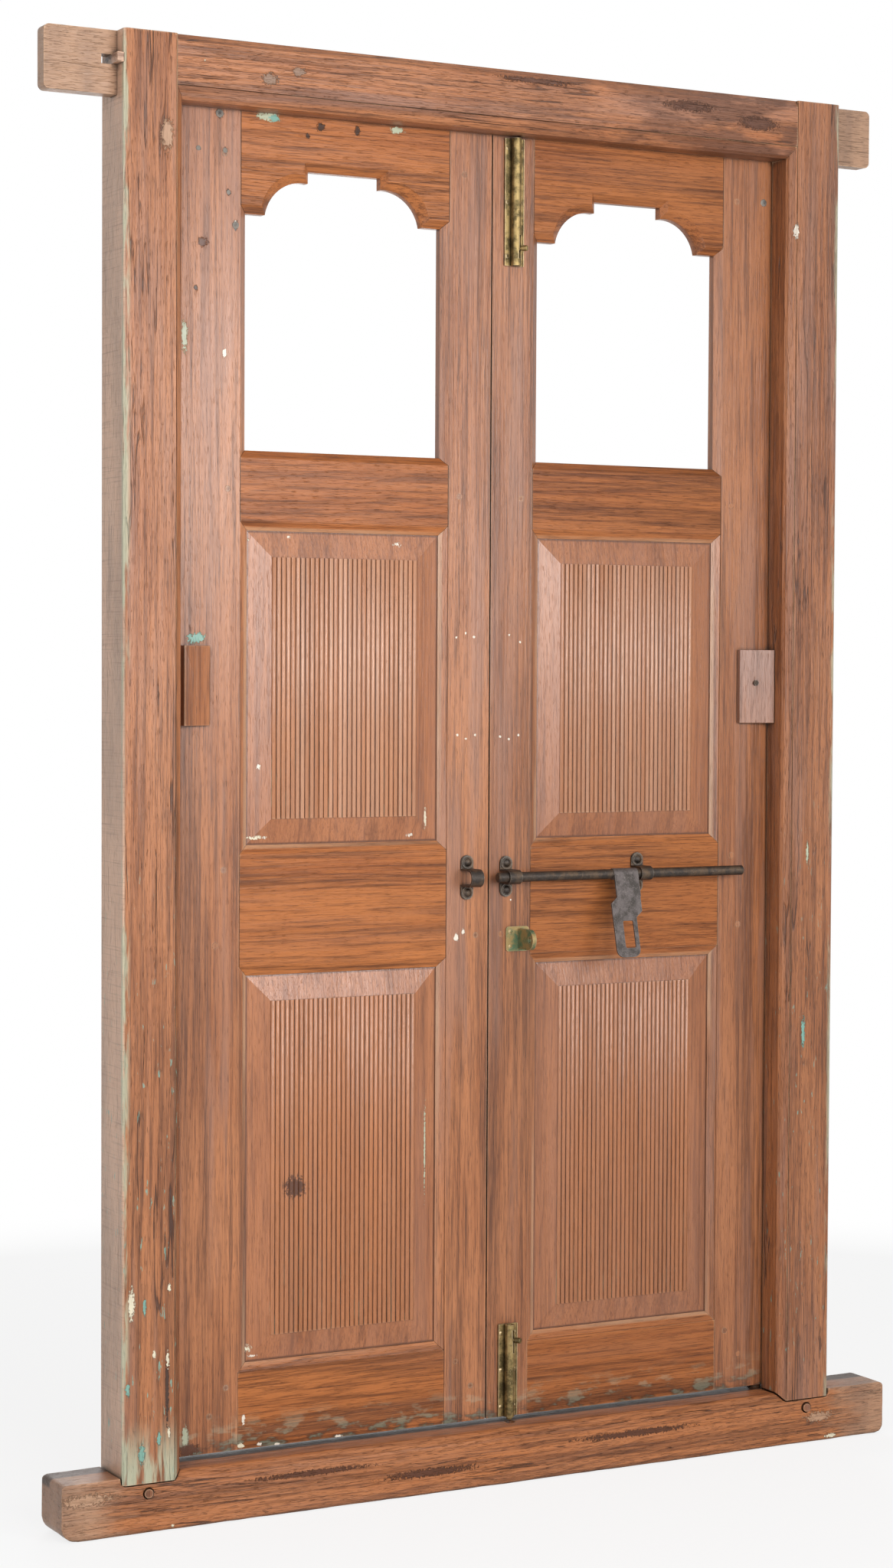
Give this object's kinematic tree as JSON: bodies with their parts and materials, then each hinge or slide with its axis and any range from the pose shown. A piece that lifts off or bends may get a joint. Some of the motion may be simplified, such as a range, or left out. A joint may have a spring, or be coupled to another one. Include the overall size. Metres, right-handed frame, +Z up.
{
  "type": "double-leaf wooden door with frame",
  "caption": "Old double-leaf teak door in its own mortised frame: stepped-arch windows, raised reeded panels, an iron slide bolt with hasp, and brass tower bolts.",
  "frame": {"origin": "underside of the sill, on the centre of the opening, halfway through the frame", "axes": "+X to the right seen from the front, +Y to the back, where the leaves open, +Z up"},
  "size_m": [1.5185, 0.1007, 2.25],
  "materials": {
    "frame_timber": "worn oiled teak, old paint traces",
    "leaf_timber": "worn oiled teak",
    "panel_timber": "worn oiled teak, reeded",
    "peg_timber": "dark end grain",
    "black_iron": "forged, dark and worn",
    "worn_washer_iron": "rubbed bright at the rims",
    "hasp_iron": "speckled old slate paint on iron",
    "old_brass": "dull aged brass"
  },
  "bodies": {
    "frame": {"left_jamb": "frame_timber", "right_jamb": "frame_timber", "head": "frame_timber", "sill": "frame_timber", "left_head_wedge": "peg_timber", "sill_pegs": "peg_timber"},
    "left_leaf": {"left_hanging_stile": "leaf_timber", "left_meeting_stile": "leaf_timber", "left_top_rail": "leaf_timber", "left_window_rail": "leaf_timber", "left_lock_rail": "leaf_timber", "left_bottom_rail": "leaf_timber", "left_upper_panel": "panel_timber", "left_lower_panel": "panel_timber", "left_leaf_pegs": "peg_timber", "left_wedge_block": "leaf_timber", "slide_keeper": "black_iron", "keeper_rivets": "black_iron", "keeper_washers": "worn_washer_iron"},
    "right_leaf": {"right_hanging_stile": "leaf_timber", "right_meeting_stile": "leaf_timber", "right_top_rail": "leaf_timber", "right_window_rail": "leaf_timber", "right_lock_rail": "leaf_timber", "right_bottom_rail": "leaf_timber", "right_upper_panel": "panel_timber", "right_lower_panel": "panel_timber", "right_leaf_pegs": "peg_timber", "right_wedge_block": "leaf_timber", "middle_strap": "black_iron", "end_strap": "black_iron", "strap_rivets": "black_iron", "strap_washers": "worn_washer_iron", "staple": "old_brass", "staple_plate": "old_brass", "staple_pins": "old_brass", "block_nail": "black_iron", "top_bolt_plate": "old_brass", "top_bolt_screws": "old_brass", "bottom_bolt_plate": "old_brass", "bottom_bolt_screws": "old_brass"},
    "slide_bolt": {"slide_bar": "black_iron"},
    "hasp_plate": {"hasp": "hasp_iron"},
    "top_bolt": {"top_bolt_rod": "old_brass", "top_bolt_knob": "old_brass"},
    "bottom_bolt": {"bottom_bolt_rod": "old_brass", "bottom_bolt_knob": "old_brass"}
  },
  "joints": [
    {"name": "left_leaf_hinge", "type": "hinge", "parent": "frame", "child": "left_leaf", "pos_m": [-0.541, 0.028, 0.083], "axis": [0, 0, 1], "range_deg": [0, 90]},
    {"name": "right_leaf_hinge", "type": "hinge", "parent": "frame", "child": "right_leaf", "pos_m": [0.541, 0.028, 0.083], "axis": [0, 0, -1], "range_deg": [0, 90]},
    {"name": "slide_bolt_travel", "type": "slide", "parent": "right_leaf", "child": "slide_bolt", "axis": [1, 0, 0], "range_m": [-0.172, 0]},
    {"name": "hasp_swing", "type": "hinge", "parent": "slide_bolt", "child": "hasp_plate", "pos_m": [0.2475, -0.014, 0.973], "axis": [-1, 0, 0], "range_deg": [-14, 90]},
    {"name": "top_bolt_travel", "type": "slide", "parent": "right_leaf", "child": "top_bolt", "axis": [0, 0, -1], "range_m": [-0.018, 0]},
    {"name": "bottom_bolt_travel", "type": "slide", "parent": "right_leaf", "child": "bottom_bolt", "axis": [0, 0, 1], "range_m": [-0.018, 0]}
  ]
}
